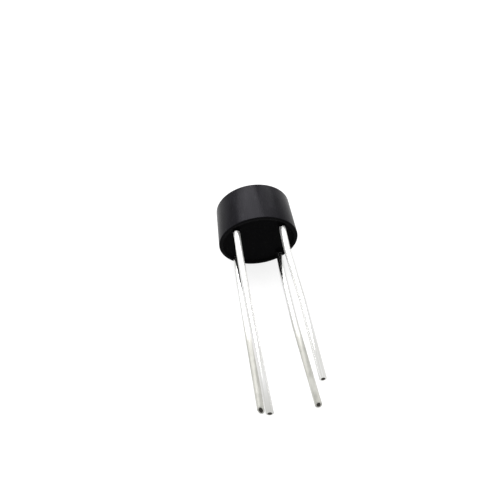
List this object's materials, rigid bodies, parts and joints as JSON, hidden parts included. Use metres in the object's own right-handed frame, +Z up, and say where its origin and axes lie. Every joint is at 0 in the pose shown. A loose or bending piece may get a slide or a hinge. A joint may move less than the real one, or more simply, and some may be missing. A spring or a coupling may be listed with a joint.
{
  "type": "bridge rectifier",
  "caption": "Round black bridge rectifier for single-phase mains: short moulded cup filled with resin, with long tinned wire leads out of its open end.",
  "frame": {"origin": "middle of the part's footprint on the flat surface that it lies on", "axes": "+Z up; -Y the way the leads point (they slope down by about 5 degrees from the rim of the cup to the surface); +X across, to the right seen from the leads"},
  "size_m": [0.009, 0.0256, 0.0093],
  "materials": {
    "case_plastic": "satin",
    "resin": "satin",
    "tinned_copper": "satin",
    "silicon": "satin",
    "solder": "satin"
  },
  "bodies": {
    "root": {"case": "case_plastic", "potting_resin": "resin", "lead_ac_1": "tinned_copper", "lead_plus": "tinned_copper", "lead_ac_2": "tinned_copper", "lead_minus": "tinned_copper", "diode_die_1": "silicon", "diode_die_2": "silicon", "diode_die_3": "silicon", "diode_die_4": "silicon", "solder_upper_1": "solder", "solder_lower_1": "solder", "solder_upper_2": "solder", "solder_lower_2": "solder", "solder_upper_3": "solder", "solder_lower_3": "solder", "solder_upper_4": "solder", "solder_lower_4": "solder"}
  },
  "joints": []
}
